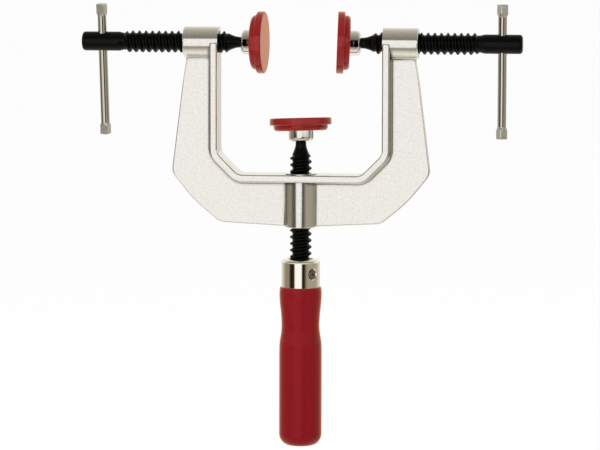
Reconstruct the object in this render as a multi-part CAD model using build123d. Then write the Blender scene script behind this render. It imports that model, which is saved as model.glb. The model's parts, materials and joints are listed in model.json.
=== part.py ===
from build123d import *
import os
from math import radians, sin, sqrt, tan

# Edging clamp with three screws. A U-shaped cast frame stands upright with its throat open at
# the top. Two screws come in from the sides, each turned by a sliding tommy bar, and the third
# comes up through the throat floor, turned by a wooden handle. Every screw ends in a ball that
# swivels in a round pressure plate with a plastic cap. Millimetres, +Z up, X across the throat,
# origin at the middle of the handle's lower end. Rest is half open, as such a clamp is stored.

# Clearances
running_clearance = 0.05      # radial, between pieces that turn or slide in each other
seat_clearance = 0.02         # radial, between pieces that are glued, pressed or snapped together
stop_clearance = 0.3          # left between pieces at the end of a travel
overrun = 1.0                 # how far a cut runs past the face that it opens

# Screw thread, rolled and round-rooted, single start, right hand
thread_diameter = 15.0
thread_pitch = 4.5
thread_depth = 1.8
crest_width = 1.6
crest_rounding = 0.35
thread_flank_angle = 16.0
thread_sink = 0.25            # how far the ridge is let into the core
thread_fade = 2.4             # length over which the ridge runs out at each end
thread_turns = (263.0, 65.0, 284.0)    # where the left, right and centre threads start, degrees

# Ball end and neck of every screw
ball_diameter = 9.2
neck_diameter = 7.3
neck_length = 5.7             # from the ball's centre to where the neck starts to swell
neck_flare_length = 7.2       # from there to the full core of the thread
ring_wire = 1.2               # snap ring wire, round
ring_sink = 0.15              # how far the wire's centre lies inside the ball's surface
ring_gap_angle = 50.0

# Side screws
side_thread_length = 72.4
head_diameter = 13.1
head_length = 25.6
head_cone_length = 3.5
head_end_radius = 2.2
bar_hole_place = 11.8         # from the head's inner end to the tommy bar's axis

# Tommy bars
bar_diameter = 6.0
bar_length = 91.2
bar_hole_clearance = 0.1
bar_end_diameter = 7.5        # across the corners of the squeezed ends
bar_end_flats = 5.8           # across the flats of the squeezed ends
bar_end_length = 8.6
bar_end_lead = 2.4
bar_end_chamfer = 0.5
bars_above_axis = (26.0, 26.8)   # how much of each bar stands above its screw at rest
bar_turns = (9.0, 0.0)        # left and right bar, degrees about the screw's axis
bar_spins = (-21.0, 38.0)     # left and right bar, degrees about the bar's own axis

# Pressure plates, measured along the pad's axis from its face
socket_diameter = 17.0
socket_lip_radius = 3.2
socket_depth = 4.6            # from the ball's centre to the socket's mouth
socket_length = 7.4           # from the cap's back to the socket's mouth
window_width = 4.8            # the two openings in the socket's wall, level with the ball
window_length = 5.6
window_corner_radius = 0.9
plate_diameter = 33.0
plate_edge_radius = 0.6
mouth_clearance = 0.1         # radial, so that the ball passes the mouth
tilt_limit = 9.0              # degrees that a plate can swivel on its ball

# Plastic caps
cap_diameter = 42.2
cap_front_thickness = 4.9
cap_back_diameter = 37.0
cap_back_thickness = 3.9
cap_face_thickness = 2.4
cap_lip_thickness = 2.4
cap_opening_diameter = 27.0
cap_edge_radius = 0.9
cap_back_radius = 2.4

# Rest positions, from the middle of the throat to the left and right pad faces
side_reach = 24.7
pad_turns = (-1.6, 6.3)       # left and right pad, degrees about the vertical
pad_leans = (0.0, 2.0)        # left and right pad, degrees about the camera's line of sight
centre_pad_tip = -4.1         # degrees about X
centre_pad_lean = -2.0        # degrees about Y
centre_gap = 21.8             # from the ferrule's top to the frame
centre_pad_height = 38.4      # from the throat floor to the centre pad's face

# Handle, ferrule and pin
handle_length = 109.4
handle_diameter = 29.2
handle_end_width = 7.0            # rounding of the lower end, across the handle
handle_end_height = 8.2           # rounding of the lower end, along the handle
# the waist, from below: height as a share of the handle's length, width of its diameter
handle_waist_shares = (
    (0.606, 0.996), (0.644, 0.986), (0.682, 0.945), (0.720, 0.904), (0.759, 0.888),
    (0.796, 0.898), (0.835, 0.918), (0.872, 0.949), (0.910, 0.977), (0.958, 0.993),
)
handle_top_diameter = 28.4
handle_top_radius = 0.8
tang_diameter = 11.0
tang_length_share = 0.55          # how deep the tang reaches, of the handle's length
tang_chamfer = 0.5
ferrule_diameter = 26.6
ferrule_height = 19.3
ferrule_top_radius = 2.4
ferrule_foot_chamfer = 0.3
ferrule_mouth_diameter = 17.2
ferrule_mouth_depth = 3.0
pin_diameter = 5.8
pin_bore = 2.6
pin_slot = 0.8
pin_countersink = 0.6
pin_turn = 46.0                   # degrees from -Y towards +X
pin_setback = 0.35                # how far each end lies inside the ferrule's surface

# Frame
throat_width = 112.6
throat_depth = 89.7               # from the throat floor up to the side screws
throat_chamfer = 14.3
throat_corner_radius = 7.8
flange_depth = 22.0
flange_thickness = 5.2
flange_edge_radius = 1.1
web_thickness = 6.0
web_edge_radius = 1.0
root_radius = 2.2
boss_diameter = 21.0
boss_length = 24.1
boss_edge_radius = 1.0
boss_foot_radius = 0.6          # lower end of the centre boss
centre_boss_height = 36.4         # from the frame's foot to the throat floor
boss_pad_height = 0.6             # raised seat round the centre screw on the throat floor
arm_width_top = 20.2              # from the throat to the outer edge of the web, at the bosses
arm_width_knee = 32.6
arm_bow = 0.9                     # how far the arm's outer edge bulges past a straight line
arm_bow_drop = 26.0               # height of that bulge below the side screws
arm_bow_radius = 160.0
# the web's lower outline: half widths as shares of the knee's, heights of the centre boss's
knee_height_share = 1.014
haunch_shares = (0.829, 0.492)
foot_shares = (0.624, 0.080)
web_foot_share = 0.011
knee_radius = 11.0
haunch_radius = 90.0
foot_radius = 11.0

# Places that follow from the sizes
core_radius = thread_diameter / 2 - thread_depth
screw_start = neck_length + neck_flare_length
bore_radius = thread_diameter / 2 + running_clearance
cap_thickness = cap_front_thickness + cap_back_thickness
ball_place = cap_thickness + socket_length - socket_depth
ferrule_top = handle_length + ferrule_height
frame_foot = ferrule_top + centre_gap
throat_floor = frame_foot + centre_boss_height
side_height = throat_floor + throat_depth
throat_half = throat_width / 2
side_ball = side_reach + ball_place
centre_ball_height = throat_floor + centre_pad_height - ball_place
ring_radius = ball_diameter / 2 - ring_sink


def bounded(*lines):
    # the flat face that a closed chain of lines, arcs and curves goes round
    return make_face([edge for line in lines for edge in line.edges()])


def revolved(points):
    # a solid of revolution about Z from (radius, height) points joined by straight lines
    corners = [(radius, 0, height) for radius, height in points]
    return revolve(make_face(Polyline(*corners, close=True)), Axis.Z)


def cylinder(diameter, low, high):
    # a cylinder about Z between two heights
    return Pos(0, 0, low) * Cylinder(diameter / 2, high - low, align=(Align.CENTER, Align.CENTER, Align.MIN))


def thread_ridge(length):
    # one helical ridge of the thread, from height 0 to length, let into the core
    crest = crest_width / 2
    foot = crest + (thread_depth + thread_sink) * tan(radians(thread_flank_angle))
    top = crest - crest_rounding
    inner = core_radius - thread_sink
    outer = thread_diameter / 2
    edge = outer - crest_rounding
    path = Edge.make_helix(pitch=thread_pitch, height=length, radius=inner)
    profile = make_face(Polyline(
        (inner, 0, -foot), (edge, 0, -crest), (outer, 0, -top),
        (outer, 0, top), (edge, 0, crest), (inner, 0, foot), close=True))
    return sweep(profile, path=path, is_frenet=True)


def threaded_stretch(low, high, turn):
    # core and ridge between two heights, the ridge running out in a cone at both ends
    core = cylinder(2 * core_radius, low, high)
    ridge = Pos(0, 0, low) * Rot(0, 0, turn) * thread_ridge(high - low)
    outer = thread_diameter / 2 + overrun
    envelope = revolved([
        (0, low), (core_radius, low), (thread_diameter / 2, low + thread_fade),
        (outer, low + thread_fade + overrun), (outer, high - thread_fade - overrun),
        (thread_diameter / 2, high - thread_fade), (core_radius, high), (0, high)])
    return (core + ridge) & envelope


def ball_end():
    # ball, neck and flare, from the ball's centre up to the thread, with the snap ring's groove
    neck = neck_diameter / 2
    rise = core_radius - neck
    flare_radius = (neck_flare_length ** 2 + rise ** 2) / (2 * rise)
    lean = neck_flare_length / 2
    middle_radius = neck + flare_radius - sqrt(flare_radius ** 2 - lean ** 2)
    lines = [
        Line((0, 0, 0), (neck, 0, 0)),
        Line((neck, 0, 0), (neck, 0, neck_length)),
        ThreePointArc((neck, 0, neck_length), (middle_radius, 0, neck_length + lean),
                      (core_radius, 0, screw_start)),
        Line((core_radius, 0, screw_start), (0, 0, screw_start)),
        Line((0, 0, screw_start), (0, 0, 0)),
    ]
    shank = revolve(bounded(*lines), Axis.Z)
    groove = Torus(ring_radius, ring_wire / 2 + seat_clearance)
    return (shank + Sphere(ball_diameter / 2)) - groove


def snap_ring():
    # split wire ring that lies in the ball's groove
    ring = Torus(ring_radius, ring_wire / 2)
    reach = ring_radius + ring_wire
    half = radians(ring_gap_angle / 2)
    gap = make_face(Polyline((0, 0), (reach, -reach * tan(half)), (reach, reach * tan(half)), close=True))
    return ring - extrude(gap, amount=ring_wire, both=True)


def side_screw(turn):
    # from the ball's centre at 0 to the end of the head
    thread_top = screw_start + side_thread_length
    head_bottom = thread_top + head_cone_length
    head_top = head_bottom + head_length
    head_radius = head_diameter / 2
    cone = revolved([(0, thread_top), (core_radius, thread_top), (head_radius, head_bottom), (0, head_bottom)])
    head = cylinder(head_diameter, head_bottom, head_top)
    head = fillet(head.edges().sort_by(Axis.Z)[-1], head_end_radius)
    hole_radius = bar_diameter / 2 + bar_hole_clearance
    hole = Pos(0, 0, head_bottom + bar_hole_place) * Rot(0, 90, 0) * Cylinder(hole_radius, head_diameter + overrun)
    screw = ball_end() + threaded_stretch(screw_start, thread_top, turn) + cone + head
    return screw - hole


def centre_screw(turn):
    # from the ball's centre at 0 down the axis to the end of the tang, built upwards and turned over
    thread_top = centre_ball_height - ferrule_top + ferrule_mouth_depth
    tang_top = centre_ball_height - handle_length * (1 - tang_length_share)
    tang = cylinder(tang_diameter, thread_top, tang_top)
    tang = chamfer(tang.edges().sort_by(Axis.Z)[-1], tang_chamfer)
    pin_height = centre_ball_height - (handle_length + ferrule_height / 2)
    hole = Pos(0, 0, pin_height) * Rot(90, 0, 0) * Cylinder(pin_diameter / 2 + seat_clearance, tang_diameter + overrun)
    screw = ball_end() + threaded_stretch(screw_start, thread_top, turn) + tang
    return screw - Rot(0, 0, -pin_turn) * hole


def tommy_bar():
    # round bar with both ends squeezed square, centred on its length
    bar_radius = bar_diameter / 2
    end_radius = bar_end_diameter / 2
    half = bar_length / 2
    shoulder = half - bar_end_length
    blank = revolved([
        (0, -half), (end_radius - bar_end_chamfer, -half), (end_radius, -half + bar_end_chamfer),
        (end_radius, -shoulder - bar_end_lead), (bar_radius, -shoulder), (bar_radius, shoulder),
        (end_radius, shoulder + bar_end_lead), (end_radius, half - bar_end_chamfer),
        (end_radius - bar_end_chamfer, half), (0, half)])
    keep = Box(bar_end_flats, bar_end_flats, bar_length)
    middle = cylinder(bar_diameter, -shoulder, shoulder)
    return (blank & keep) + middle


def pressure_plate():
    # steel plate with its ball socket, the pad's face at 0 and the socket's mouth at the top
    plate_low = cap_face_thickness + seat_clearance
    plate_high = cap_thickness - cap_lip_thickness - seat_clearance
    mouth = cap_thickness + socket_length
    plate = cylinder(plate_diameter, plate_low, plate_high)
    plate = fillet(plate.edges(), plate_edge_radius)
    socket = cylinder(socket_diameter, plate_high, mouth)
    socket = fillet(socket.edges().sort_by(Axis.Z)[-1], socket_lip_radius)
    seat = Pos(0, 0, ball_place) * Sphere(ball_diameter / 2 + running_clearance)
    ring_reach = ring_radius + ring_wire / 2
    swing = ring_reach * sin(radians(tilt_limit)) + ring_wire / 2 + mouth_clearance
    groove = cylinder(2 * (ring_reach + mouth_clearance), ball_place - swing, ball_place + swing)
    throat = cylinder(ball_diameter + 2 * mouth_clearance, ball_place, mouth + overrun)
    window = Box(window_width, socket_diameter + overrun, window_length)
    window = Pos(0, 0, ball_place) * fillet(window.edges().filter_by(Axis.Y), window_corner_radius)
    return plate + socket - seat - groove - throat - (window & socket)


def pad_cap():
    # plastic cap in two steps that snaps over the pressure plate
    front = cylinder(cap_diameter, 0, cap_front_thickness)
    front = fillet(front.edges(), cap_edge_radius)
    back = cylinder(cap_back_diameter, cap_front_thickness - cap_edge_radius, cap_thickness)
    back = fillet(back.edges().sort_by(Axis.Z)[-1], cap_back_radius)
    pocket = cylinder(plate_diameter + 2 * seat_clearance, cap_face_thickness, cap_thickness - cap_lip_thickness)
    opening = cylinder(cap_opening_diameter, cap_face_thickness, cap_thickness + overrun)
    return front + back - pocket - opening


def handle():
    # turned wooden grip, rounded below, waisted near the top, bored for the tang
    radius = handle_diameter / 2
    flat = radius - handle_end_width
    waist = [(radius * width, 0, handle_length * height) for height, width in handle_waist_shares]
    neck = (handle_top_diameter / 2, 0, handle_length - handle_top_radius)
    shoulder = (handle_top_diameter / 2 - handle_top_radius, 0, handle_length)
    end_round = Plane.XZ * EllipticalCenterArc(
        (flat, handle_end_height), handle_end_width, handle_end_height, start_angle=270, arc_size=90)
    lines = [
        Line((0, 0, 0), (flat, 0, 0)),
        end_round,
        Line((radius, 0, handle_end_height), waist[0]),
        Spline(*waist, neck, tangents=[(0, 0, 1), (handle_top_radius - handle_diameter, 0, handle_length)]),
        Line(neck, shoulder),
        Line(shoulder, (0, 0, handle_length)),
        Line((0, 0, handle_length), (0, 0, 0)),
    ]
    body = revolve(bounded(*lines), Axis.Z)
    bore_end = handle_length * (1 - tang_length_share) - stop_clearance
    bore = cylinder(tang_diameter + 2 * seat_clearance, bore_end, handle_length + overrun)
    return body - bore


def ferrule():
    # steel collar between handle and screw, open at the top for the end of the thread
    body = cylinder(ferrule_diameter, handle_length, ferrule_top)
    body = fillet(body.edges().sort_by(Axis.Z)[-1], ferrule_top_radius)
    body = chamfer(body.edges().sort_by(Axis.Z)[0], ferrule_foot_chamfer)
    bore = cylinder(tang_diameter + 2 * seat_clearance, handle_length - overrun, ferrule_top)
    mouth = cylinder(ferrule_mouth_diameter, ferrule_top - ferrule_mouth_depth, ferrule_top + overrun)
    hole = Cylinder(pin_diameter / 2 + seat_clearance, ferrule_diameter + overrun)
    wide = pin_diameter / 2 + pin_countersink
    reach = ferrule_diameter / 2
    sink = Pos(0, 0, reach) * Cone(pin_diameter / 2, wide + pin_countersink, 2 * pin_countersink)
    drilled = hole + sink + Rot(180, 0, 0) * sink
    across = Rot(0, 0, pin_turn) * Rot(90, 0, 0)
    return body - bore - mouth - Pos(0, 0, handle_length + ferrule_height / 2) * across * drilled


def ferrule_pin():
    # rolled spring pin, slotted along its length
    length = ferrule_diameter - 2 * pin_setback
    tube = Cylinder(pin_diameter / 2, length) - Cylinder(pin_bore / 2, length + overrun)
    slot = Pos(pin_diameter / 2, 0, 0) * Box(pin_diameter, pin_slot, length + overrun)
    tube = tube - slot
    across = Rot(0, 0, pin_turn) * Rot(90, 0, 0)
    return Pos(0, 0, handle_length + ferrule_height / 2) * across * tube


def throat_outline(offset, top):
    # the U of the throat, moved outwards by offset, closed across the top
    half = throat_half + offset
    floor = throat_floor - offset
    cut = throat_chamfer + offset * (2 - sqrt(2))
    radius = throat_corner_radius + offset
    corners = [(-half, top), (-half, floor + cut), (-half + cut, floor),
               (half - cut, floor), (half, floor + cut), (half, top)]
    path = FilletPolyline(*[(x, 0, z) for x, z in corners], radius=radius)
    lid = Line((half, 0, top), (-half, 0, top))
    return bounded(path, lid)


def web_outline():
    # outer edge of the thin web, both arms and the yoke
    knee = throat_half + arm_width_knee
    arm = throat_half + arm_width_top
    foot = frame_foot + centre_boss_height * web_foot_share
    knee_height = frame_foot + centre_boss_height * knee_height_share
    lean = (knee - arm) / (side_height - knee_height)
    right = [
        (arm, side_height),
        (arm + lean * arm_bow_drop + arm_bow, side_height - arm_bow_drop),
        (knee, knee_height),
        (knee * haunch_shares[0], frame_foot + centre_boss_height * haunch_shares[1]),
        (knee * foot_shares[0], frame_foot + centre_boss_height * foot_shares[1]),
        (boss_diameter / 4, foot),
    ]
    radii = [arm_bow_radius, knee_radius, haunch_radius, foot_radius]
    left = [(-x, z) for x, z in reversed(right)]
    path = FilletPolyline(*[(x, 0, z) for x, z in right], radius=radii)
    mirror = FilletPolyline(*[(x, 0, z) for x, z in left], radius=radii[::-1])
    joint = Line((right[-1][0], 0, foot), (left[0][0], 0, foot))
    lid = Line((left[-1][0], 0, side_height), (right[0][0], 0, side_height))
    return bounded(path, joint, mirror, lid)


def outline_rim(plate):
    # the edges round the back and front of a piece of even depth
    groups = plate.edges().group_by(Axis.Y)
    return groups[0] + groups[-1]


def side_boss(side):
    # horizontal boss for one side screw, rounded at its outer end
    middle = side * (throat_half + boss_length / 2)
    boss = Pos(middle, 0, side_height) * Rot(0, 90, 0) * Cylinder(boss_diameter / 2, boss_length)
    outer_end = boss.faces().sort_by(Axis.X)[-1 if side > 0 else 0].edges()
    return fillet(outer_end, boss_edge_radius)


def centre_boss():
    # upright boss for the centre screw, from the foot to the raised seat on the throat floor
    boss = cylinder(boss_diameter, frame_foot, throat_floor + boss_pad_height)
    boss = fillet(boss.faces().sort_by(Axis.Z)[0].edges(), boss_foot_radius)
    return fillet(boss.faces().sort_by(Axis.Z)[-1].edges(), boss_pad_height / 2)


def frame():
    # the casting: a web, a deep flange round the throat, three bosses, then the bores
    web = extrude(web_outline(), amount=web_thickness / 2, both=True)
    web = fillet(outline_rim(web), web_edge_radius)
    inside = throat_outline(flange_thickness / 2, side_height + boss_diameter)
    web = web - extrude(inside, amount=web_thickness, both=True)
    flange = extrude(throat_outline(flange_thickness, side_height), amount=flange_depth / 2, both=True)
    flange = flange - extrude(throat_outline(0, side_height + overrun), amount=flange_depth, both=True)
    flange = fillet(outline_rim(flange), flange_edge_radius)
    pieces = [web, flange, centre_boss(), side_boss(-1), side_boss(1)]
    body = pieces[0] + pieces[1:]
    roots = new_edges(*pieces, combined=body).filter_by(Plane.XZ)
    body = fillet(roots.filter_by_position(Axis.Y, -web_thickness, web_thickness), root_radius)
    upright_bore = cylinder(2 * bore_radius, frame_foot - overrun, throat_floor + boss_pad_height + overrun)
    cross_length = throat_width + 2 * boss_length
    cross_bore = Pos(0, 0, side_height) * Rot(0, 90, 0) * Cylinder(bore_radius, cross_length + overrun)
    return body - upright_bore - cross_bore


def along_x(side):
    # turns a piece built upwards into one that points outwards along X
    return Rot(0, 90, 0) if side > 0 else Rot(0, -90, 0)


def write(name, shape):
    # one STEP file for each piece
    export_step(shape, "parts/" + name + ".step")


def main():
    os.makedirs("parts", exist_ok=True)
    write("frame", frame())
    bar = tommy_bar()
    plate = pressure_plate()
    cap = pad_cap()
    ring = snap_ring()
    hole_place = screw_start + side_thread_length + head_cone_length + bar_hole_place
    for index, (name, side) in enumerate((("left", -1), ("right", 1))):
        ball = Pos(side * side_ball, 0, side_height)
        outwards = along_x(side)
        screw_turn = Rot(bar_turns[index], 0, 0)
        upright = Rot(0, 0, 0) if side > 0 else Rot(0, 0, 180)
        screw = side_screw(thread_turns[index])
        write(name + "_spindle", ball * screw_turn * outwards * upright * screw)
        write(name + "_retaining_ring", ball * outwards * ring)
        bar_place = Pos(side * (side_ball + hole_place), 0, side_height)
        bar_slide = Pos(0, 0, bars_above_axis[index] - bar_length / 2) * Rot(0, 0, bar_spins[index])
        write(name + "_tommy_bar", bar_place * screw_turn * bar_slide * bar)
        swivel = Rot(0, 0, pad_turns[index]) * Rot(0, pad_leans[index], 0)
        pad_place = ball * swivel * outwards * Pos(0, 0, -ball_place)
        write(name + "_pressure_plate", pad_place * plate)
        write(name + "_pad_cap", pad_place * cap)
    ball = Pos(0, 0, centre_ball_height)
    turned_over = Rot(180, 0, 0)
    write("centre_spindle", ball * turned_over * centre_screw(thread_turns[-1]))
    write("centre_retaining_ring", ball * ring)
    swivel = Rot(centre_pad_tip, 0, 0) * Rot(0, centre_pad_lean, 0)
    pad_place = ball * swivel * turned_over * Pos(0, 0, -ball_place)
    write("centre_pressure_plate", pad_place * Rot(0, 0, 90) * plate)
    write("centre_pad_cap", pad_place * cap)
    write("handle", handle())
    write("ferrule", ferrule())
    write("ferrule_pin", ferrule_pin())


main()
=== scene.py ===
import bpy
import bmesh
import json
from math import cos, pi, radians, sin, tan
from mathutils import Matrix, Vector


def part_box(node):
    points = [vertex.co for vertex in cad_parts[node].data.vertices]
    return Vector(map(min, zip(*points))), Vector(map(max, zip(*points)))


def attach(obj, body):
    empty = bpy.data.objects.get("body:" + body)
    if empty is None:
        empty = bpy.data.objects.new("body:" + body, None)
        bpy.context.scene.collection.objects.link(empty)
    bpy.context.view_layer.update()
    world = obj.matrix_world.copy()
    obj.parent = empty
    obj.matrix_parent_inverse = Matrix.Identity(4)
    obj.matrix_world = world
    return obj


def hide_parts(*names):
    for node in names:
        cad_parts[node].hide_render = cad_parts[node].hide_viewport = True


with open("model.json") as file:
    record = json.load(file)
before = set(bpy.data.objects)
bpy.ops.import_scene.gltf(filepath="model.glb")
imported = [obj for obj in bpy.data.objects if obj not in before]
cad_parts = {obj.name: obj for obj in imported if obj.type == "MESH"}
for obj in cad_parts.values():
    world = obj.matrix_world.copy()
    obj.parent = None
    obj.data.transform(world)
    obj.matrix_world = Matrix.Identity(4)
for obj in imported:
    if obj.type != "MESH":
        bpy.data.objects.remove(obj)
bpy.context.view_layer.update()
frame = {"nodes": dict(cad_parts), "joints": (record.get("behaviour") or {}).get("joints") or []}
mm = 0.001
print("clamp: frame loaded,", len(frame["nodes"]), "nodes")


# Small tools used by every piece. Pieces are drawn in millimetres and then put in place in metres.

onAxis = 1e-6    # a point this close to the axis lies on it, in millimetres
weld = 0.001    # points this close to each other become one, in millimetres
mixShare, mixFirst, mixSecond, mixResult = 0, 6, 7, 2    # a Mix node's sockets when it mixes colours


def linear(code):
    # sRGB hex to linear RGBA, with the numbers of the sRGB standard
    parts = [int(code[place:place + 2], 16) / 255 for place in (1, 3, 5)]
    return [part / 12.92 if part <= 0.04045 else ((part + 0.055) / 1.055) ** 2.4
            for part in parts] + [1]


def addNode(tree, kind, inputs=None, **settings):
    # one node with its settings; an input is a value or another node's socket
    node = tree.nodes.new(kind)
    for name, value in settings.items():
        setattr(node, name, value)
    for key, value in (inputs or {}).items():
        if isinstance(value, bpy.types.NodeSocket):
            tree.links.new(value, node.inputs[key])
        else:
            node.inputs[key].default_value = value
    return node


def newMaterial(name, values):
    # a Principled material with its constants set on the sockets; gives material, tree and shader
    material = bpy.data.materials.new(name)
    material.use_nodes = True
    tree = material.node_tree
    shader = tree.nodes["Principled BSDF"]
    for key, value in values.items():
        shader.inputs[key].default_value = linear(value) if isinstance(value, str) else value
    return material, tree, shader


def softOutline(corners, steps=6):
    # points from (radius, height, rounding) corners; a rounded corner becomes a short arc
    points = []
    for index, (radius, height, rounding) in enumerate(corners):
        here = Vector((radius, height))
        if not rounding:
            points.append(here)
            continue
        before = (Vector(corners[index - 1][:2]) - here).normalized()
        after = (Vector(corners[(index + 1) % len(corners)][:2]) - here).normalized()
        half = before.angle(after) / 2
        middle = here + (before + after).normalized() * rounding / sin(half)
        first = here + before * rounding / tan(half) - middle
        last = here + after * rounding / tan(half) - middle
        for step in range(steps + 1):
            points.append(middle + first.slerp(last, step / steps).normalized() * rounding)
    return points


def lathe(outline, sides, closed=False, startTurn=0.0):
    # a mesh turned about Z from (radius, height) points
    shape = bmesh.new()
    rings = []
    for radius, height in outline:
        if radius < onAxis:
            rings.append([shape.verts.new((0, 0, height))])
            continue
        angles = [startTurn + 2 * pi * side / sides for side in range(sides)]
        rings.append([shape.verts.new((radius * cos(a), radius * sin(a), height)) for a in angles])
    upper = rings[1:] + (rings[:1] if closed else [])
    for low, high in zip(rings, upper):
        for side in range(sides):
            following = (side + 1) % sides
            corners = [low[side % len(low)], low[following % len(low)],
                       high[following % len(high)], high[side % len(high)]]
            corners = list(dict.fromkeys(corners))    # beside a point on the axis, three are left
            if len(corners) > 2:
                shape.faces.new(corners)
    bmesh.ops.recalc_face_normals(shape, faces=shape.faces)
    return shape


def asObject(name, shape):
    # a bmesh becomes a plain object in the scene
    mesh = bpy.data.meshes.new(name)
    shape.to_mesh(mesh)
    shape.free()
    piece = bpy.data.objects.new(name, mesh)
    bpy.context.scene.collection.objects.link(piece)
    return piece


def applyModifiers(piece):
    # the mesh becomes what the piece's modifiers make of it, and none of them is left
    bpy.context.view_layer.update()
    result = piece.evaluated_get(bpy.context.evaluated_depsgraph_get())
    mesh = bpy.data.meshes.new_from_object(result)
    piece.modifiers.clear()
    piece.data = mesh


def cutBy(piece, cutter):
    # takes the cutter's shape out of the piece
    cut = piece.modifiers.new("cut", "BOOLEAN")
    cut.operation = "DIFFERENCE"
    cut.solver = "EXACT"
    cut.object = cutter
    applyModifiers(piece)
    bpy.data.objects.remove(cutter)


def settle(piece, place, material, body, nodes, sharpAngle=40):
    # puts a piece in its place, smooths it up to the sharp angle, and ties it to its body
    shape = bmesh.new()
    shape.from_mesh(piece.data)
    bmesh.ops.transform(shape, matrix=place @ Matrix.Scale(mm, 4), verts=shape.verts)
    bmesh.ops.remove_doubles(shape, verts=shape.verts, dist=weld * mm)
    bmesh.ops.recalc_face_normals(shape, faces=shape.faces)
    for face in shape.faces:
        face.smooth = True
    for edge in shape.edges:
        edge.smooth = len(edge.link_faces) == 2 and edge.calc_face_angle() < radians(sharpAngle)
    shape.to_mesh(piece.data)
    shape.free()
    piece.data.materials.clear()
    piece.data.materials.append(material)
    weights = piece.modifiers.new("weights", "WEIGHTED_NORMAL")
    weights.keep_sharp = True
    applyModifiers(piece)
    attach(piece, body)
    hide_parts(*nodes)


# Places, read from the frame's own joints

joints = {joint["name"]: joint for joint in frame["joints"]}
barSides = ("left", "right")
screwSides = ("left", "right", "centre")


def turned(degrees, axis):
    return Matrix.Rotation(radians(degrees), 4, axis)


def ballPlace(side):
    # the middle of the screw's ball, about which the pad tilts
    return Matrix.Translation(joints[side + "_spin"]["pos_m"])


# each piece is drawn with Z running from the pad along the screw, and this lays it on its axis
outwards = {"left": turned(-90, "Y") @ turned(180, "Z"), "right": turned(90, "Y"),
            "centre": turned(180, "X")}
# how far the screws are turned and the pads are tilted at rest
screwTurns = {"left": turned(9, "X"), "right": Matrix.Identity(4), "centre": Matrix.Identity(4)}
padTurns = {"left": turned(-1.6, "Z"), "right": turned(6.3, "Z") @ turned(2, "Y"),
            "centre": turned(-4.1, "X") @ turned(-2, "Y")}


# Materials. Widths and heights of their patterns are in millimetres, and a pair gives a range.

# Silver enamel sprayed on a blasted casting: bright, nearly a mirror on the bosses, finely grained
# on the web, with painted shade (ambient occlusion) darkening the tight corners. Its real grain and
# orange peel are some 0.3 mm wide, too fine to show, so both are drawn coarser.
def silverEnamel():
    # the corner tone is the colour of painted shade in the tight corners; reach and open set how far
    # that painted shade spreads
    look = {"light": "#f3f0ea", "dull": "#e5e1da", "corner": "#2e2a25", "grain": 1.6,
            "speck": (0.32, 0.7), "reach": 3.0, "open": (0.57, 0.97), "roughness": 0.16,
            "uneven": 0.04, "peel": 2.0, "peelHeight": 0.02, "peelStrength": 0.3}
    material, tree, shader = newMaterial("silverEnamel", {
        "Metallic": 0.97, "Roughness": look["roughness"]})
    place = addNode(tree, "ShaderNodeTexCoord").outputs["Object"]
    grain = addNode(tree, "ShaderNodeTexNoise", {
        "Vector": place, "Scale": 1 / (look["grain"] * mm), "Detail": 4.0, "Roughness": 0.7})
    speck = addNode(tree, "ShaderNodeMapRange", {
        "Value": grain.outputs["Fac"], "From Min": look["speck"][0], "From Max": look["speck"][1]})
    tone = addNode(tree, "ShaderNodeMix", {
        mixShare: speck.outputs["Result"], mixFirst: linear(look["light"]),
        mixSecond: linear(look["dull"])}, data_type="RGBA")
    # painted shade: ambient occlusion darkens the colour towards the corner tone next to walls and in
    # creases
    paintedCornerShade = addNode(tree, "ShaderNodeAmbientOcclusion", {
        "Distance": look["reach"] * mm}, only_local=True)
    unshadedShare = addNode(tree, "ShaderNodeMapRange", {
        "Value": paintedCornerShade.outputs["AO"], "From Min": look["open"][0], "From Max": look["open"][1]})
    toneWithPaintedShade = addNode(tree, "ShaderNodeMix", {
        mixShare: unshadedShare.outputs["Result"], mixFirst: linear(look["corner"]),
        mixSecond: tone.outputs[mixResult]}, data_type="RGBA")
    tree.links.new(toneWithPaintedShade.outputs[mixResult], shader.inputs["Base Color"])
    gloss = addNode(tree, "ShaderNodeMapRange", {
        "Value": grain.outputs["Fac"], "To Min": look["roughness"] - look["uneven"],
        "To Max": look["roughness"] + look["uneven"]})
    tree.links.new(gloss.outputs["Result"], shader.inputs["Roughness"])
    peel = addNode(tree, "ShaderNodeTexNoise", {
        "Vector": place, "Scale": 1 / (look["peel"] * mm), "Detail": 1.0})
    bump = addNode(tree, "ShaderNodeBump", {
        "Strength": look["peelStrength"], "Distance": look["peelHeight"] * mm,
        "Height": peel.outputs["Fac"]})
    tree.links.new(bump.outputs["Normal"], shader.inputs["Normal"])
    return material


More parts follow.
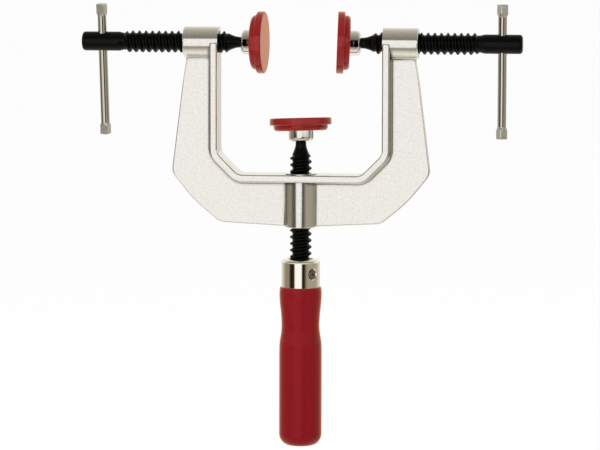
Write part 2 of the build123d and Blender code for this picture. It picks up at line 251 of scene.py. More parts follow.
# Steel blackened in hot salts and oiled: nearly black, with a soft shine and faint brown patches.
# Its real grit is under 0.1 mm, so it is drawn coarser.
def blackOxide():
    look = {"deep": "#010101", "worn": "#060605", "blotch": 3.0, "roughness": 0.26, "uneven": 0.06,
            "grit": 0.5, "gritHeight": 0.02, "gritStrength": 0.3}
    material, tree, shader = newMaterial("blackOxide", {
        "Roughness": look["roughness"], "IOR": 1.45, "Specular IOR Level": 0.15})
    place = addNode(tree, "ShaderNodeTexCoord").outputs["Object"]
    blotch = addNode(tree, "ShaderNodeTexNoise", {
        "Vector": place, "Scale": 1 / (look["blotch"] * mm), "Detail": 4.0})
    tone = addNode(tree, "ShaderNodeMix", {
        mixShare: blotch.outputs["Fac"], mixFirst: linear(look["deep"]),
        mixSecond: linear(look["worn"])}, data_type="RGBA")
    tree.links.new(tone.outputs[mixResult], shader.inputs["Base Color"])
    gloss = addNode(tree, "ShaderNodeMapRange", {
        "Value": blotch.outputs["Fac"], "To Min": look["roughness"] - look["uneven"],
        "To Max": look["roughness"] + look["uneven"]})
    tree.links.new(gloss.outputs["Result"], shader.inputs["Roughness"])
    grit = addNode(tree, "ShaderNodeTexNoise", {
        "Vector": place, "Scale": 1 / (look["grit"] * mm), "Detail": 2.0})
    bump = addNode(tree, "ShaderNodeBump", {
        "Strength": look["gritStrength"], "Distance": look["gritHeight"] * mm,
        "Height": grit.outputs["Fac"]})
    tree.links.new(bump.outputs["Normal"], shader.inputs["Normal"])
    return material


# Bright metal with the fine marks of the die, press or tool that shaped it. The real marks lie
# hundredths of a millimetre apart, so they are drawn coarser.
def brightMetal(name, tone, roughness, mark, markHeight, stretch=(1, 1, 1)):
    # between its marks the metal is smoother, and in them rougher, by these shares
    look = {"smoothest": 0.7, "roughest": 1.5, "markStrength": 0.3}
    material, tree, shader = newMaterial(name, {
        "Base Color": tone, "Metallic": 1.0, "Roughness": roughness})
    place = addNode(tree, "ShaderNodeTexCoord").outputs["Object"]
    spread = addNode(tree, "ShaderNodeMapping", {"Vector": place, "Scale": stretch})
    marks = addNode(tree, "ShaderNodeTexNoise", {
        "Vector": spread.outputs["Vector"], "Scale": 1 / (mark * mm), "Detail": 2.0})
    gloss = addNode(tree, "ShaderNodeMapRange", {
        "Value": marks.outputs["Fac"], "To Min": roughness * look["smoothest"],
        "To Max": roughness * look["roughest"]})
    tree.links.new(gloss.outputs["Result"], shader.inputs["Roughness"])
    bump = addNode(tree, "ShaderNodeBump", {
        "Strength": look["markStrength"], "Distance": markHeight * mm,
        "Height": marks.outputs["Fac"]})
    tree.links.new(bump.outputs["Normal"], shader.inputs["Normal"])
    return material


# Polyamide, injection-moulded and coloured through: deep red, glossy, warm and pale at a grazing
# look. The real skin of the mould is finer than 0.1 mm, so it is drawn coarser.
def redPolyamide():
    look = {"red": "#871a1a", "shade": "#771416", "cloud": 9.0, "skin": 0.7, "skinHeight": 0.01,
            "skinStrength": 0.2}
    material, tree, shader = newMaterial("redPolyamide", {
        "Roughness": 0.1, "IOR": 1.53, "Specular IOR Level": 0.3, "Sheen Weight": 1.0,
        "Sheen Roughness": 0.3, "Sheen Tint": "#ff9a48"})
    place = addNode(tree, "ShaderNodeTexCoord").outputs["Object"]
    cloud = addNode(tree, "ShaderNodeTexNoise", {
        "Vector": place, "Scale": 1 / (look["cloud"] * mm), "Detail": 2.0})
    tone = addNode(tree, "ShaderNodeMix", {
        mixShare: cloud.outputs["Fac"], mixFirst: linear(look["red"]),
        mixSecond: linear(look["shade"])}, data_type="RGBA")
    tree.links.new(tone.outputs[mixResult], shader.inputs["Base Color"])
    skin = addNode(tree, "ShaderNodeTexNoise", {
        "Vector": place, "Scale": 1 / (look["skin"] * mm), "Detail": 1.0})
    bump = addNode(tree, "ShaderNodeBump", {
        "Strength": look["skinStrength"], "Distance": look["skinHeight"] * mm,
        "Height": skin.outputs["Fac"]})
    tree.links.new(bump.outputs["Normal"], shader.inputs["Normal"])
    return material


# Beech, dipped in red lacquer: the grain shows faintly along the smooth, satin grip. Real beech
# pores are about 0.1 mm wide, so they are drawn coarser.
def redLacquer():
    look = {"red": "#80121b", "grain": "#720f18", "pore": 1.1, "stretch": (1, 1, 0.05),
            "poreHeight": 0.03, "poreStrength": 0.25}
    material, tree, shader = newMaterial("redLacquer", {
        "Roughness": 0.2, "IOR": 1.5, "Specular IOR Level": 0.1, "Sheen Weight": 1.0,
        "Sheen Roughness": 0.35, "Sheen Tint": "#ff9a58"})
    place = addNode(tree, "ShaderNodeTexCoord").outputs["Object"]
    along = addNode(tree, "ShaderNodeMapping", {"Vector": place, "Scale": look["stretch"]})
    grain = addNode(tree, "ShaderNodeTexNoise", {
        "Vector": along.outputs["Vector"], "Scale": 1 / (look["pore"] * mm), "Detail": 3.0})
    tone = addNode(tree, "ShaderNodeMix", {
        mixShare: grain.outputs["Fac"], mixFirst: linear(look["red"]),
        mixSecond: linear(look["grain"])}, data_type="RGBA")
    tree.links.new(tone.outputs[mixResult], shader.inputs["Base Color"])
    bump = addNode(tree, "ShaderNodeBump", {
        "Strength": look["poreStrength"], "Distance": look["poreHeight"] * mm,
        "Height": grain.outputs["Fac"]})
    tree.links.new(bump.outputs["Normal"], shader.inputs["Normal"])
    return material


enamel = silverEnamel()
oxide = blackOxide()
# Zinc on drawn rod: a mirror with faint lines along the bar
zincRod = brightMetal("zincRod", "#d6d2c9", roughness=0.07, mark=0.4, markHeight=0.005,
                      stretch=(1, 1, 0.03))
# The same rod where a press squeezed it: dull and dimpled
pressedZinc = brightMetal("pressedZinc", "#d9d6ce", roughness=0.3, mark=0.6, markHeight=0.05)
# Zinc on turned steel: a pale, even mirror
zincPlate = brightMetal("zincPlate", "#efece6", roughness=0.06, mark=0.5, markHeight=0.003)
# Nickel on a turned collar: the clearest mirror, a little warm
nickel = brightMetal("nickel", "#fbf7ea", roughness=0.05, mark=0.6, markHeight=0.002)
# Bare spring steel, rolled and tempered: brownish grey and satin
springSteel = brightMetal("springSteel", "#8a857b", roughness=0.28, mark=0.4, markHeight=0.006)
polyamide = redPolyamide()
lacquer = redLacquer()
print("clamp: materials made")


# Frame: the casting's own surface, its loose triangles joined and its shading evened out

def makeFrame():
    shape = bmesh.new()
    shape.from_mesh(frame["nodes"]["frame"].data)
    bmesh.ops.remove_doubles(shape, verts=shape.verts, dist=weld * mm)
    bmesh.ops.transform(shape, matrix=Matrix.Scale(1 / mm, 4), verts=shape.verts)
    piece = asObject("castFrame", shape)
    settle(piece, Matrix.Identity(4), enamel, "frame", ["frame"])


makeFrame()
print("clamp: frame done")


# Spindles: a turned blank, and a rolled thread that Geometry Nodes wind onto it

thread = {
    "coreRadius": 5.7, "crestRadius": 7.5, "pitch": 4.5, "fade": 2.4, "sides": 72, "rows": 20,
    "turns": {"left": 263.0, "right": 65.0, "centre": 284.0},    # degrees at which each one starts
    "spareTurns": 2.0, "weld": 0.002,
    "nudge": 0.0001,    # keeps a row that starts a new turn from counting as the last one's end
    # the ridge from crest to crest, as shares of the pitch and of the ridge's height
    "ridge": ((0.0, 1.0), (0.05, 0.99), (0.12, 0.86), (0.3, 0.22), (0.4, 0.03), (0.5, 0.0),
              (0.6, 0.03), (0.7, 0.22), (0.88, 0.86), (0.95, 0.99), (1.0, 1.0)),
}


def rolledThread():
    # a sheared grid wrapped round the axis, so that its rows follow the helix
    tree = bpy.data.node_groups.new("rolledThread", "GeometryNodeTree")
    tree.interface.new_socket("Geometry", in_out="INPUT", socket_type="NodeSocketGeometry")
    lengths = ("Low", "High", "Pitch", "Core Radius", "Crest Radius", "Fade", "Start Turn")
    counts = ("Sides", "Rows per Turn")
    for name in lengths:
        tree.interface.new_socket(name, in_out="INPUT", socket_type="NodeSocketFloat")
    for name in counts:
        tree.interface.new_socket(name, in_out="INPUT", socket_type="NodeSocketInt")
    tree.interface.new_socket("Finish", in_out="INPUT", socket_type="NodeSocketMaterial")
    tree.interface.new_socket("Geometry", in_out="OUTPUT", socket_type="NodeSocketGeometry")
    given = addNode(tree, "NodeGroupInput").outputs
    position = addNode(tree, "GeometryNodeInputPosition")
    spot = addNode(tree, "ShaderNodeSeparateXYZ", {0: position.outputs[0]})
    ridge = addNode(tree, "ShaderNodeFloatCurve")
    curve = ridge.mapping.curves[0]
    for along, height in thread["ridge"][1:-1]:
        curve.points.new(along, height)
    curve.points[0].location = thread["ridge"][0]
    curve.points[-1].location = thread["ridge"][-1]
    ridge.mapping.update()

    # the sums behind the helix: a name is an input, a node's socket or an earlier line's result
    values = {name: given[name] for name in lengths + counts}
    values |= {"across": spot.outputs["X"], "up": spot.outputs["Y"], "ridge": ridge.outputs[0]}
    sums = (
        ("length", "SUBTRACT", "High", "Low"),
        ("pitches", "DIVIDE", "length", "Pitch"),
        ("wholePitches", "CEIL", "pitches"),
        ("turns", "ADD", "wholePitches", thread["spareTurns"]),
        ("rows", "MULTIPLY", "turns", "Rows per Turn"),
        ("rowPoints", "ADD", "rows", 1.0),
        ("sidePoints", "ADD", "Sides", 1.0),
        # the grid is one wide and centred, so a half more gives shares from 0 to 1
        ("acrossShare", "ADD", "across", 0.5),
        ("rowPlace", "MULTIPLY", "acrossShare", "rows"),
        ("row", "ROUND", "rowPlace"),
        ("climb", "DIVIDE", "row", "Rows per Turn"),
        ("around", "ADD", "up", 0.5),
        ("nudged", "ADD", "climb", thread["nudge"]),
        ("phase", "FRACT", "nudged"),
        # the height of each point, kept between the thread's two ends
        ("wound", "ADD", "climb", "around"),
        ("fromStart", "SUBTRACT", "wound", 1.0),
        ("lift", "MULTIPLY", "Pitch", "fromStart"),
        ("freeHeight", "ADD", "Low", "lift"),
        ("atLeastLow", "MAXIMUM", "freeHeight", "Low"),
        ("height", "MINIMUM", "atLeastLow", "High"),
        # the ridge runs out towards both ends
        ("aboveLow", "SUBTRACT", "height", "Low"),
        ("belowHigh", "SUBTRACT", "High", "height"),
        ("toEnd", "MINIMUM", "aboveLow", "belowHigh"),
        ("faded", "DIVIDE", "toEnd", "Fade"),
        ("runOut", "MINIMUM", "faded", 1.0),
        ("rise", "MINIMUM", "ridge", "runOut"),
        ("depth", "SUBTRACT", "Crest Radius", "Core Radius"),
        ("swell", "MULTIPLY", "rise", "depth"),
        ("radius", "ADD", "Core Radius", "swell"),
        ("circle", "MULTIPLY", "around", 2 * pi),
        ("angle", "ADD", "circle", "Start Turn"),
        ("cosine", "COSINE", "angle"),
        ("sine", "SINE", "angle"),
        ("x", "MULTIPLY", "radius", "cosine"),
        ("y", "MULTIPLY", "radius", "sine"),
    )
    for name, operation, *parts in sums:
        inputs = {index: values.get(part, part) for index, part in enumerate(parts)}
        values[name] = addNode(tree, "ShaderNodeMath", inputs, operation=operation).outputs[0]

    tree.links.new(values["phase"], ridge.inputs["Value"])
    grid = addNode(tree, "GeometryNodeMeshGrid", {
        "Size X": 1.0, "Size Y": 1.0, "Vertices X": values["rowPoints"],
        "Vertices Y": values["sidePoints"]})
    place = addNode(tree, "ShaderNodeCombineXYZ", {
        "X": values["x"], "Y": values["y"], "Z": values["height"]})
    wound = addNode(tree, "GeometryNodeSetPosition", {
        "Geometry": grid.outputs["Mesh"], "Position": place.outputs[0]})
    both = addNode(tree, "GeometryNodeJoinGeometry")
    tree.links.new(wound.outputs[0], both.inputs[0])
    tree.links.new(given["Geometry"], both.inputs[0])
    merged = addNode(tree, "GeometryNodeMergeByDistance", {
        "Geometry": both.outputs[0], "Distance": thread["weld"]})
    real = addNode(tree, "GeometryNodeRealizeInstances", {"Geometry": merged.outputs[0]})
    finished = addNode(tree, "GeometryNodeSetMaterial", {
        "Geometry": real.outputs[0], "Material": given["Finish"]})
    addNode(tree, "NodeGroupOutput", {"Geometry": finished.outputs[0]})
    return tree


threadTree = rolledThread()


def rollOnto(blank, low, high, turn):
    # winds the thread onto a blank that is open between two heights
    winding = blank.modifiers.new("thread", "NODES")
    winding.node_group = threadTree
    values = {"Low": low, "High": high, "Pitch": thread["pitch"], "Core Radius": thread["coreRadius"],
              "Crest Radius": thread["crestRadius"], "Fade": thread["fade"], "Start Turn": turn,
              "Sides": thread["sides"], "Rows per Turn": thread["rows"], "Finish": oxide}
    for item in threadTree.interface.items_tree:
        if item.in_out == "INPUT" and item.name in values:
            winding[item.identifier] = values[item.name]
    applyModifiers(blank)


spindle = {
    "ballRadius": 4.6, "joinAngle": 52.5,    # degrees from the axis where the neck leaves the ball
    "neckRadius": 3.65, "neckEnd": 5.7, "neckRing": 0.6, "threadStart": 12.9, "sideThread": 72.4,
    "cone": 3.5, "coneRounding": 0.8, "headRadius": 6.55, "head": 25.6, "headRounding": 2.2,
    "holePlace": 11.8, "holeRadius": 3.1, "drillReach": 10, "drillSides": 48,
    "tangRadius": 5.5, "tangRounding": 0.5,
    "sunk": 3.0,    # how far the centre screw's thread goes into the ferrule's mouth
    "ballSteps": 24, "neckSteps": 12,
}


def ballAndNeck():
    # from the ball's pole up to the start of the thread
    points = []
    sweep = 180 - spindle["joinAngle"]
    for step in range(spindle["ballSteps"] + 1):
        angle = radians(180 - step * sweep / spindle["ballSteps"])
        points.append((spindle["ballRadius"] * sin(angle), spindle["ballRadius"] * cos(angle)))
    points.append((spindle["neckRadius"], spindle["neckEnd"] * spindle["neckRing"]))
    widening = thread["coreRadius"] - spindle["neckRadius"]
    length = spindle["threadStart"] - spindle["neckEnd"]
    for step in range(spindle["neckSteps"] + 1):
        share = step / spindle["neckSteps"]
        swell = 1 - cos(share * pi / 2)
        points.append((spindle["neckRadius"] + widening * swell, spindle["neckEnd"] + length * share))
    return points


def makeSpindle(side):
    turn = radians(thread["turns"][side])
    if side == "centre":
        ballHeight = joints["centre_spin"]["pos_m"][2] / mm
        threadEnd = ballHeight - (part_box("ferrule")[1].z / mm - spindle["sunk"])
        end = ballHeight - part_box("centre_spindle")[0].z / mm
        tail = [(thread["coreRadius"], threadEnd, 0), (spindle["tangRadius"], threadEnd, 0),
                (spindle["tangRadius"], end, spindle["tangRounding"]), (0, end, 0)]
    else:
        threadEnd = spindle["threadStart"] + spindle["sideThread"]
        headStart = threadEnd + spindle["cone"]
        end = headStart + spindle["head"]
        tail = [(thread["coreRadius"], threadEnd, 0),
                (spindle["headRadius"], headStart, spindle["coneRounding"]),
                (spindle["headRadius"], end, spindle["headRounding"]), (0, end, 0)]
    shape = lathe(ballAndNeck(), thread["sides"], startTurn=turn)
    rear = lathe(softOutline(tail), thread["sides"], startTurn=turn)
    # both join in one blank, with the gap between them left for the thread
    carrier = bpy.data.meshes.new("rear")
    rear.to_mesh(carrier)
    rear.free()
    shape.from_mesh(carrier)
    blank = asObject(side + "Spindle", shape)
    rollOnto(blank, spindle["threadStart"], threadEnd, turn)
    if side != "centre":    # the cross hole for the tommy bar
        reach, hole = spindle["drillReach"], spindle["holeRadius"]
        outline = [(0, -reach), (hole, -reach), (hole, reach), (0, reach)]
        drill = asObject("drill", lathe(outline, spindle["drillSides"]))
        height = headStart + spindle["holePlace"]
        drill.matrix_world = Matrix.Translation((0, 0, height)) @ turned(90, "Y")
        cutBy(blank, drill)
    place = ballPlace(side) @ screwTurns[side] @ outwards[side]
    settle(blank, place, oxide, side + "_screw", [side + "_spindle"])


for side in screwSides:
    makeSpindle(side)
print("clamp: spindles done")


# Tommy bars: drawn rod, both ends squeezed square so that it can't drop out

bar = {
    "radius": 3.0, "length": 91.2, "endLength": 8.6, "endRing": 3.5, "cornerRadius": 3.75, "flat": 2.9,
    "lead": 2.6, "leadSteps": 8, "chamfer": 0.5, "chamferRing": 0.4, "chamferScale": 0.95,
    "rodRings": (0.75, 0.5, 0.25), "sides": 64, "spin": {"left": -21.0, "right": 38.0},
}


def barSection(share, scale):
    # points round the bar: 0 is the round rod, 1 the squeezed end's rounded square
    points = []
    for side in range(bar["sides"]):
        angle = 2 * pi * side / bar["sides"]
        square = min(bar["flat"] / max(abs(cos(angle)), abs(sin(angle))), bar["cornerRadius"])
        radius = (bar["radius"] * (1 - share) + square * share) * scale
        points.append((radius * cos(angle), radius * sin(angle)))
    return points


def makeBar(side):
    half = bar["length"] / 2
    shoulder = half - bar["endLength"]
    # (height, share of the square, scale) from the upper end down to the middle
    stations = [(half, 1.0, 1 - bar["chamfer"] / bar["flat"]),
                (half - bar["chamfer"] * bar["chamferRing"], 1.0, bar["chamferScale"]),
                (half - bar["chamfer"], 1.0, 1.0), (half - bar["endRing"], 1.0, 1.0),
                (shoulder + bar["lead"], 1.0, 1.0)]
    for step in range(1, bar["leadSteps"] + 1):
        share = step / bar["leadSteps"]
        ease = share * share * (3 - 2 * share)    # leaves the square and meets the rod softly
        stations.append((shoulder + bar["lead"] * (1 - share), 1 - ease, 1.0))
    stations += [(shoulder * share, 0.0, 1.0) for share in bar["rodRings"]]
    lower = [(-height, share, scale) for height, share, scale in reversed(stations)]
    stations += [(0.0, 0.0, 1.0)] + lower
    shape = bmesh.new()
    rings = []
    for height, share, scale in stations:
        rings.append([shape.verts.new((x, y, height)) for x, y in barSection(share, scale)])
    for first, second in zip(rings, rings[1:]):
        for step in range(bar["sides"]):
            following = (step + 1) % bar["sides"]
            shape.faces.new([first[step], first[following], second[following], second[step]])
    shape.faces.new(rings[0])
    shape.faces.new(rings[-1])
    piece = asObject(side + "TommyBar", shape)
    boxLow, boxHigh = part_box(side + "_tommy_bar")
    middle = (boxLow + boxHigh) / 2
    place = Matrix.Translation(middle) @ screwTurns[side] @ turned(bar["spin"][side], "Z")
    body = joints[side + "_bar_slide"]["child"]
    settle(piece, place, zincRod, body, [side + "_tommy_bar"])
    piece.data.materials.append(pressedZinc)    # the squeezed ends are duller
    for face in piece.data.polygons:
        face.material_index = int((face.center - middle).length > shoulder * mm)


for side in barSides:
    makeBar(side)
print("clamp: tommy bars done")


# Pads: a steel plate with its ball socket, in a plastic cap of two steps. Heights start at the
# cap's face, and "ball" is the height of the ball's middle.

pad = {
    "ball": 11.6, "fit": 0.02,    # the fit keeps cap and plate just apart
    "front": 4.9, "back": 8.8, "capRadius": 21.1, "stepRadius": 18.5, "edge": 0.9, "ledgeEdge": 0.25,
    "backEdge": 2.4, "face": 2.4, "lip": 2.4, "opening": 13.5, "openingEdge": 0.4, "capSides": 128,
    "plateRadius": 16.5, "plateEdge": 0.6, "socketRadius": 8.5, "socketFoot": 0.5,
    "socketTop": 16.2, "socketLip": 3.2, "seat": 4.65, "seatStep": 6, "throat": 4.7,
    "throatEdge": 0.3, "plateSides": 96,
    "window": (4.8, 5.6, 0.9),    # width, length and rounding
    "windowSteps": 5, "windowSpare": 2,
}


def padPlace(side):
    tilted = ballPlace(side) @ padTurns[side] @ outwards[side]
    return tilted @ Matrix.Translation((0, 0, -pad["ball"] * mm))


def makeCap(side):
    inner = pad["plateRadius"] + pad["fit"]
    ledge, lip = pad["front"], pad["back"] - pad["lip"]
    corners = [(0, 0, 0), (pad["capRadius"], 0, pad["edge"]), (pad["capRadius"], ledge, pad["edge"]),
               (pad["stepRadius"], ledge, pad["ledgeEdge"]),
               (pad["stepRadius"], pad["back"], pad["backEdge"]),
               (pad["opening"], pad["back"], pad["openingEdge"]), (pad["opening"], lip, 0),
               (inner, lip, 0), (inner, pad["face"], 0), (0, pad["face"], 0)]
    piece = asObject(side + "PadCap", lathe(softOutline(corners), pad["capSides"]))
    settle(piece, padPlace(side), polyamide, side + "_pad", [side + "_pad_cap"])


def makePlate(side):
    low = pad["face"] + pad["fit"]
    high = pad["back"] - pad["lip"] - pad["fit"]
    angles = [radians(angle) for angle in range(90, -1, -pad["seatStep"])]
    seat = [(pad["seat"] * sin(angle), pad["ball"] - pad["seat"] * cos(angle), 0) for angle in angles]
    corners = [(0, low, 0), (pad["plateRadius"], low, pad["plateEdge"]),
               (pad["plateRadius"], high, pad["plateEdge"]),
               (pad["socketRadius"], high, pad["socketFoot"]),
               (pad["socketRadius"], pad["socketTop"], pad["socketLip"]),
               (pad["throat"], pad["socketTop"], pad["throatEdge"]),
               (pad["throat"], pad["ball"], 0)] + seat
    piece = asObject(side + "PressurePlate", lathe(softOutline(corners), pad["plateSides"]))
    # two windows in the socket's wall, cut by one rounded block
    width, length, rounding = pad["window"]
    block = bmesh.new()
    bmesh.ops.create_cube(block, size=1)
    across = 2 * pad["socketRadius"] + pad["windowSpare"]
    bmesh.ops.scale(block, vec=(width, across, length), verts=block.verts)
    alongY = [edge for edge in block.edges
              if edge.verts[0].co.x == edge.verts[1].co.x and edge.verts[0].co.z == edge.verts[1].co.z]
    bmesh.ops.bevel(block, geom=alongY, offset=rounding, segments=pad["windowSteps"], affect="EDGES",
                    profile=0.5)
    cutter = asObject("cutter", block)
    cutter.matrix_world = Matrix.Translation((0, 0, pad["ball"]))
    cutBy(piece, cutter)
    place = padPlace(side)
    if side == "centre":
        place = place @ turned(90, "Z")
    settle(piece, place, zincPlate, side + "_pad", [side + "_pressure_plate"])


for side in screwSides:
    makeCap(side)
    makePlate(side)
print("clamp: pads done")


# Handle: turned beech, waisted near the top

grip = {
    "endWidth": 7.0, "endHeight": 8.2, "endSteps": 16, "bodyRings": (0.2, 0.35, 0.5, 0.57),
    "topRadius": 14.2, "topRounding": 0.8, "roundingMiddle": 0.3, "waistSteps": 8,
    "boreRadius": 5.6, "boreFloor": 0.44, "sides": 128, "sharpAngle": 50,
    # up the waist: shares of the handle's length and of its radius
    "waistShares": ((0.606, 0.996), (0.644, 0.986), (0.682, 0.945), (0.720, 0.904), (0.759, 0.888),
                    (0.796, 0.898), (0.835, 0.918), (0.872, 0.949), (0.910, 0.977), (0.958, 0.993)),
}


def smoothThrough(points, steps):
    # a smooth curve through (radius, height) points; each span leans on the points beside it
    path = []
    for index in range(len(points) - 1):
        before = points[max(index - 1, 0)]
        here, following = points[index], points[index + 1]
        after = points[min(index + 2, len(points) - 1)]
        for step in range(steps):
            t = step / steps
            path.append(tuple(
                0.5 * (2 * h + (f - b) * t + (2 * b - 5 * h + 4 * f - a) * t * t
                       + (3 * h - b - 3 * f + a) * t ** 3)
                for b, h, f, a in zip(before, here, following, after)))
    return path + [tuple(points[-1])]


def makeHandle():
    low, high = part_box("handle")
    radius = (high.x - low.x) / 2 / mm
    length = high.z / mm
    flat = radius - grip["endWidth"]
    points = [(0, 0)]
    for step in range(grip["endSteps"] + 1):
        angle = radians(90 * step / grip["endSteps"])
        points.append((flat + grip["endWidth"] * sin(angle), grip["endHeight"] * (1 - cos(angle))))
    points += [(radius, length * share) for share in grip["bodyRings"]]
    waist = [(radius * width, length * height) for height, width in grip["waistShares"]]
    rounding = grip["topRounding"]
    waist.append((grip["topRadius"], length - rounding))
    points += smoothThrough(waist, grip["waistSteps"])
    inset = rounding * grip["roundingMiddle"]
    points += [(grip["topRadius"] - inset, length - inset), (grip["topRadius"] - rounding, length)]
    bore, floor = grip["boreRadius"], length * grip["boreFloor"]
    points += [(bore, length), (bore, floor), (0, floor)]
    piece = asObject("handleGrip", lathe(points, grip["sides"]))
    settle(piece, Matrix.Identity(4), lacquer, "centre_screw", ["handle"],
           grip["sharpAngle"])


makeHandle()
print("clamp: handle done")


# Ferrule and its rolled spring pin

collar = {
    "topRounding": 2.4, "foot": 0.3, "mouthRadius": 8.6, "mouthDepth": 3.0, "mouthEdge": 0.35,
    "boreRadius": 5.55, "sides": 128, "pinHole": 2.95, "sink": 1.2, "drillSpare": 1, "drillSides": 64,
}
pin = {
    "turn": 46.0, "radius": 2.9, "bore": 0.6, "slot": 0.7, "setback": 0.35, "chamfer": 0.35,
    "steps": 40, "sharpAngle": 30,
}


def pinPlace(height):
    # the pin's axis lies level and is turned away from the front
    return Matrix.Translation((0, 0, height)) @ turned(pin["turn"], "Z") @ turned(90, "X")


def makeFerrule():
    low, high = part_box("ferrule")
    radius = (high.x - low.x) / 2 / mm
    foot, top = low.z / mm, high.z / mm
    mouthFloor = top - collar["mouthDepth"]
    corners = [(collar["boreRadius"], foot, 0), (radius, foot, collar["foot"]),
               (radius, top, collar["topRounding"]), (collar["mouthRadius"], top, collar["mouthEdge"]),
               (collar["mouthRadius"], mouthFloor, 0), (collar["boreRadius"], mouthFloor, 0)]
    piece = asObject("ferruleCollar", lathe(softOutline(corners), collar["sides"], closed=True))
    reach = radius + collar["drillSpare"]
    hole, sink = collar["pinHole"], collar["sink"]
    drill = asObject("drill", lathe([
        (0, -reach), (hole + sink, -reach), (hole + sink, -radius), (hole, -radius + sink),
        (hole, radius - sink), (hole + sink, radius), (hole + sink, reach), (0, reach)],
        collar["drillSides"]))
    drill.matrix_world = pinPlace((foot + top) / 2)
    cutBy(piece, drill)
    settle(piece, Matrix.Identity(4), nickel, "centre_screw", ["ferrule"])


def makePin():
    low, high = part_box("ferrule")
    half = (high.x - low.x) / 2 / mm - pin["setback"]
    shape = bmesh.new()
    slotAngle = pin["slot"] / 2 / pin["radius"]
    steps, chamfer, narrow = pin["steps"], pin["chamfer"], pin["radius"] - pin["chamfer"]
    angles = [slotAngle + (2 * pi - 2 * slotAngle) * step / steps for step in range(steps + 1)]
    rings = []
    for radius, height in ((pin["bore"], -half), (narrow, -half), (pin["radius"], -half + chamfer),
                           (pin["radius"], half - chamfer), (narrow, half), (pin["bore"], half)):
        rings.append([shape.verts.new((radius * cos(a), radius * sin(a), height)) for a in angles])
    for first, second in zip(rings, rings[1:] + rings[:1]):
        for step in range(steps):
            shape.faces.new([first[step], first[step + 1], second[step + 1], second[step]])
    shape.faces.new([ring[0] for ring in rings])
    shape.faces.new([ring[-1] for ring in rings])
    bmesh.ops.recalc_face_normals(shape, faces=shape.faces)
    piece = asObject("springPin", shape)
    settle(piece, pinPlace((low.z + high.z) / 2), springSteel, "centre_screw",
           ["ferrule_pin"], pin["sharpAngle"])


makeFerrule()
makePin()
print("clamp: ferrule and pin done")


# Snap rings keep their CAD shape

for side in screwSides:
    ring = frame["nodes"][side + "_retaining_ring"]
    ring.data.materials.clear()
    ring.data.materials.append(springSteel)


# Studio: pale floor, soft light, and what shiny metal sees round it

studio = {
    "ambient": 0.62, "middle": (0, 0, 0.2),    # the lamps point at the middle
    "floor": "#f7f7f7", "floorRoughness": 0.9, "floorGlow": 0.95, "floorSize": 30.0,
    "floorDrop": 24.0,    # clear of the handle's end when the centre screw is wound down
}


# White background paper: matt, and nearly pure white to the camera
def makeFloor():
    shape = bmesh.new()
    bmesh.ops.create_grid(shape, x_segments=1, y_segments=1, size=studio["floorSize"] / 2)
    floor = asObject("floor", shape)
    floor.location.z = -studio["floorDrop"] * mm
    material, tree, shader = newMaterial("paperFloor", {
        "Base Color": studio["floor"], "Roughness": studio["floorRoughness"]})
    seen = addNode(tree, "ShaderNodeLightPath").outputs["Is Camera Ray"]
    share = addNode(tree, "ShaderNodeMath", {0: seen, 1: studio["floorGlow"]}, operation="MULTIPLY")
    glow = addNode(tree, "ShaderNodeEmission", {"Color": (1, 1, 1, 1), "Strength": 1.0})
    blend = addNode(tree, "ShaderNodeMixShader", {
        0: share.outputs[0], 1: shader.outputs[0], 2: glow.outputs[0]})
    tree.links.new(blend.outputs[0], tree.nodes["Material Output"].inputs["Surface"])
    floor.data.materials.append(material)
    floor.visible_glossy = False


# Papers and cloths that stand round the clamp
cloths = {"white": "#ffffff", "paper": "#f6f4ec", "linen": "#dfdbd2", "pale": "#c9c5ba",
          "stone": "#b3ada0", "drab": "#a19b8d", "tan": "#8d8573", "olive": "#6b6657",
          "grey": "#8f8c86", "slate": "#6e6b64", "brown": "#322b20", "velvet": "#221a10",
          "black": "#000000"}

# What shiny surfaces see, as cloths at angles in degrees. Round the clamp, 0 is in front, 90 on the
# right and 180 behind. Over the clamp, 0 is in front, 90 overhead and -90 underneath.
sights = {
    # level with the clamp: a light panel in front between dark cloths, drab sides and a pale back
    "room": ((-180, "paper"), (-158, "paper"), (-138, "linen"), (-118, "pale"), (-109, "stone"),
             (-92, "tan"), (-67, "tan"), (-57, "brown"), (-50, "velvet"), (-32, "brown"),
             (-25, "white"), (10, "white"), (17, "brown"), (24, "velvet"), (30, "brown"),
             (41, "tan"), (51, "drab"), (108, "drab"), (121, "stone"), (132, "pale"),
             (150, "linen"), (180, "linen")),
    # a little lower: the same panel, one dark cloth on its right, and pale ones at the corners
    "below": ((-180, "pale"), (-120, "pale"), (-100, "olive"), (-60, "olive"), (-52, "pale"),
              (-38, "linen"), (-23, "white"), (0, "white"), (8, "brown"), (26, "brown"),
              (33, "tan"), (40, "stone"), (55, "stone"), (68, "tan"), (104, "tan"),
              (124, "pale"), (180, "pale")),
    # the rest: white straight in front, grey over and under that, and paler towards the back
    "above": ((-180, "white"), (-80, "paper"), (-57, "pale"), (-47, "drab"), (-41, "grey"),
              (-31, "drab"), (-27, "white"), (25, "white"), (27, "slate"), (57, "grey"),
              (75, "drab"), (95, "stone"), (116, "pale"), (137, "linen"), (159, "paper"),
              (180, "paper")),
    # up from straight down, white where the lower sight takes over from the room
    "isBelow": ((-90, "white"), (-11.5, "white"), (-10, "black"), (90, "black")),
    # up from straight down, white where either of these two is seen
    "isRoom": ((-90, "black"), (-28, "black"), (-24, "white"), (0, "white"), (4, "black"),
               (90, "black")),
}


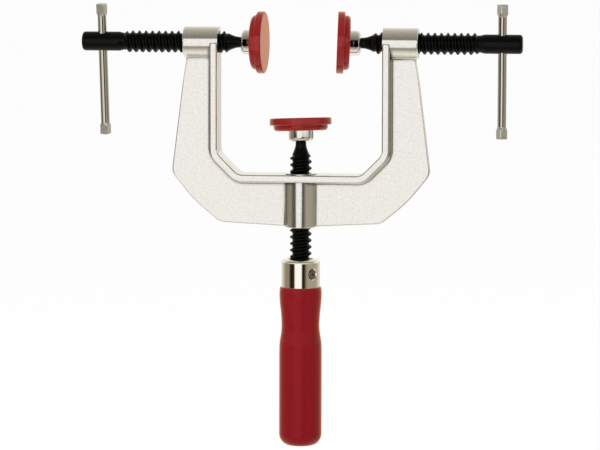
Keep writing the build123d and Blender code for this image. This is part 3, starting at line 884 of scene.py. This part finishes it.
def makeWorld():
    # the camera sees white, soft surfaces an even light, and shiny ones the sights
    world = bpy.data.worlds.new("studio")
    bpy.context.scene.world = world
    world.use_nodes = True
    world.cycles.sampling_method = "NONE"    # its light on soft surfaces is even all round
    tree = world.node_tree
    tree.nodes.clear()
    direction = addNode(tree, "ShaderNodeTexCoord").outputs["Generated"]
    parts = addNode(tree, "ShaderNodeSeparateXYZ", {0: direction}).outputs
    towards = addNode(tree, "ShaderNodeMath", {
        0: parts["Y"], 1: -1.0}, operation="MULTIPLY").outputs[0]
    azimuth = addNode(tree, "ShaderNodeMath", {
        0: parts["X"], 1: towards}, operation="ARCTAN2").outputs[0]
    tilt = addNode(tree, "ShaderNodeMath", {
        0: parts["Z"], 1: towards}, operation="ARCTAN2").outputs[0]
    elevation = addNode(tree, "ShaderNodeMath", {0: parts["Z"]}, operation="ARCSINE").outputs[0]

    def sight(name, angle, limit):
        # a sight's cloths over an angle that runs from -limit to limit
        share = addNode(tree, "ShaderNodeMapRange", {
            "Value": angle, "From Min": radians(-limit), "From Max": radians(limit)})
        ramp = addNode(tree, "ShaderNodeValToRGB", {0: share.outputs["Result"]})
        elements = ramp.color_ramp.elements
        for index, (degrees, cloth) in enumerate(sights[name]):
            position = (degrees + limit) / (2 * limit)
            element = elements[index] if index < 2 else elements.new(position)
            element.position = position
            element.color = linear(cloths[cloth])
        return ramp.outputs["Color"]

    nearby = addNode(tree, "ShaderNodeMix", {
        mixShare: sight("isBelow", elevation, 90), mixFirst: sight("room", azimuth, 180),
        mixSecond: sight("below", azimuth, 180)}, data_type="RGBA")
    everything = addNode(tree, "ShaderNodeMix", {
        mixShare: sight("isRoom", elevation, 90), mixFirst: sight("above", tilt, 180),
        mixSecond: nearby.outputs[mixResult]}, data_type="RGBA")
    rays = addNode(tree, "ShaderNodeLightPath").outputs
    shiny = addNode(tree, "ShaderNodeBackground", {
        "Color": everything.outputs[mixResult], "Strength": 1.0})
    even = addNode(tree, "ShaderNodeBackground", {
        "Color": (1, 1, 1, 1), "Strength": studio["ambient"]})
    white = addNode(tree, "ShaderNodeBackground", {"Color": (1, 1, 1, 1), "Strength": 1.0})
    lit = addNode(tree, "ShaderNodeMixShader", {
        0: rays["Is Glossy Ray"], 1: even.outputs[0], 2: shiny.outputs[0]})
    final = addNode(tree, "ShaderNodeMixShader", {
        0: rays["Is Camera Ray"], 1: lit.outputs[0], 2: white.outputs[0]})
    addNode(tree, "ShaderNodeOutputWorld", {"Surface": final.outputs[0]})


lamps = {
    "panel": {"azimuth": -24, "elevation": 14, "distance": 1.3, "size": 0.9, "power": 10.0},
    "fill": {"azimuth": 50, "elevation": 30, "distance": 1.5, "size": 0.9, "power": 5.0},
    "top": {"azimuth": 170, "elevation": 65, "distance": 1.4, "size": 0.9, "power": 6.0},
}


def outFrom(target, azimuth, elevation, distance):
    # a point at an angle and distance from the target; azimuth 0 is in front, at -Y
    a, e = radians(azimuth), radians(elevation)
    return target + Vector((sin(a) * cos(e), -cos(a) * cos(e), sin(e))) * distance


def aim(thing, place, target, roll=0.0):
    # puts a lamp or camera at its place, facing the target
    back = (place - target).normalized()
    right = Vector((0, 0, 1)).cross(back).normalized()
    up = back.cross(right)
    turning = Matrix((right, up, back)).transposed().to_4x4()
    thing.matrix_world = Matrix.Translation(place) @ turning @ turned(roll, "Z")


def makeLamps():
    target = Vector(studio["middle"])
    for name, look in lamps.items():
        light = bpy.data.lights.new(name, "AREA")
        light.shape = "SQUARE"
        light.size = look["size"]
        light.energy = look["power"]
        lamp = bpy.data.objects.new(name, light)
        bpy.context.scene.collection.objects.link(lamp)
        aim(lamp, outFrom(target, look["azimuth"], look["elevation"], look["distance"]), target)
        lamp.visible_glossy = False
        lamp.visible_camera = False


view = {
    "azimuth": 7.0, "elevation": 6.0, "distance": 2.257, "target": (-0.0005, 0, 0.1519),
    "roll": 0.12, "focalPixels": 3300, "pictureWidth": 600, "sensor": 36.0,
}


def makeCamera():
    data = bpy.data.cameras.new("camera")
    data.sensor_width = view["sensor"]
    data.lens = view["focalPixels"] / view["pictureWidth"] * view["sensor"]
    camera = bpy.data.objects.new("camera", data)
    bpy.context.scene.collection.objects.link(camera)
    target = Vector(view["target"])
    place = outFrom(target, view["azimuth"], view["elevation"], view["distance"])
    aim(camera, place, target, view["roll"])
    bpy.context.scene.camera = camera


makeFloor()
makeWorld()
makeLamps()
makeCamera()
bpy.context.scene.view_settings.view_transform = "Standard"
print("clamp: studio done")
